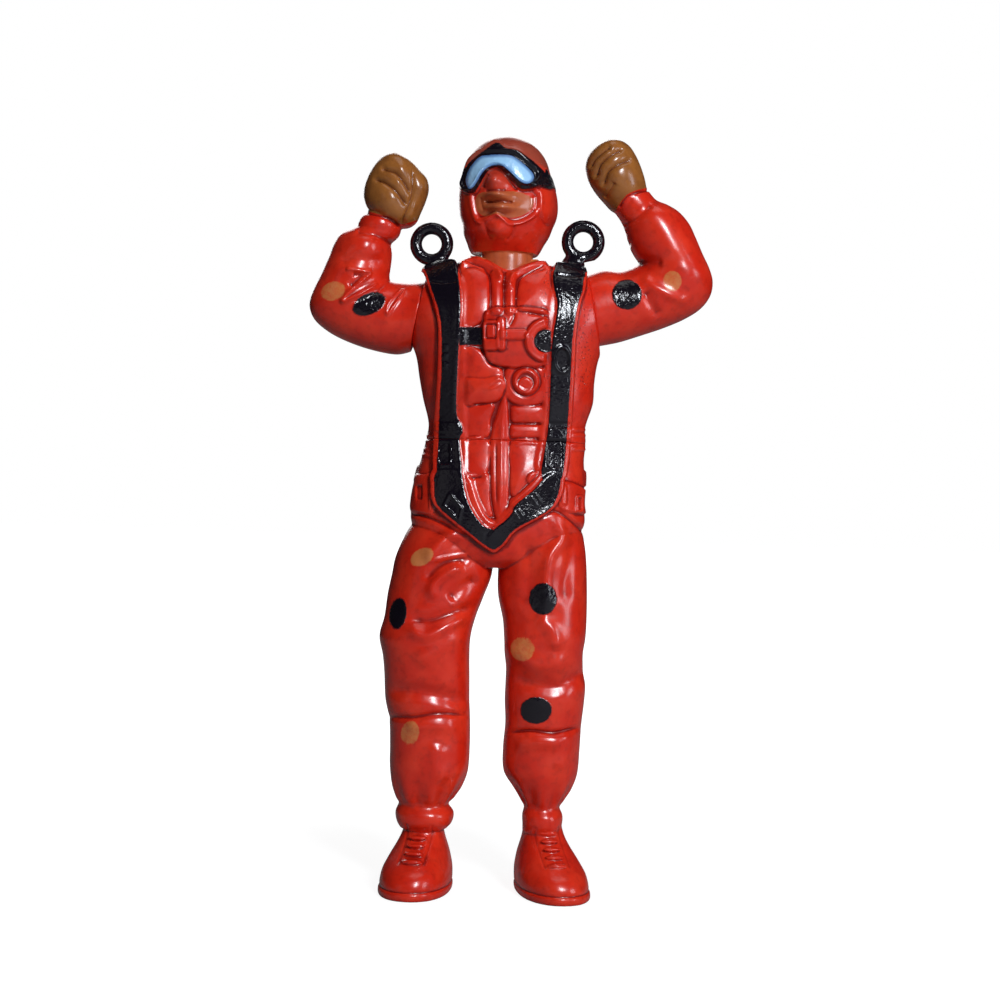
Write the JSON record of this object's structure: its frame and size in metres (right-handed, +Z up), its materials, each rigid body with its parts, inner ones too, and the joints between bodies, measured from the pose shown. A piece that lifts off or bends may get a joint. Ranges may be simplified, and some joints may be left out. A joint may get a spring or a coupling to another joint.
{
  "type": "toy parachutist figure",
  "caption": "Hollow soft vinyl parachutist with raised fists, moulded harness, goggles and shoulder rings for canopy lines; head and arms turn on round plugs.",
  "frame": {"origin": "centre of the bounding box, at the level of the soles", "axes": "+Z up along the standing figure, the chest faces -Y, the figure's left arm is on +X"},
  "size_m": [0.0742, 0.0246, 0.1403],
  "materials": {
    "suit_vinyl": "semi-gloss soft vinyl, painted harness",
    "hood_vinyl": "semi-gloss soft vinyl, painted goggles and face",
    "sleeve_vinyl": "semi-gloss soft vinyl, painted hands"
  },
  "bodies": {
    "trunk": {"chest": "suit_vinyl", "hips_and_legs": "suit_vinyl"},
    "head": {"head": "hood_vinyl"},
    "right_arm": {"right_arm": "sleeve_vinyl"},
    "left_arm": {"left_arm": "sleeve_vinyl"}
  },
  "joints": [
    {"name": "neck_turn", "type": "hinge", "parent": "trunk", "child": "head", "pos_m": [-0.00057, 0.00092, 0.1175], "axis": [0, 0, 1], "continuous": true},
    {"name": "right_shoulder", "type": "hinge", "parent": "trunk", "child": "right_arm", "pos_m": [-0.01657, 0.00092, 0.1055], "axis": [-0.9799, 0, 0.1994], "continuous": true},
    {"name": "left_shoulder", "type": "hinge", "parent": "trunk", "child": "left_arm", "pos_m": [0.01543, 0.00092, 0.1075], "axis": [0.9799, 0, 0.1994], "continuous": true}
  ]
}
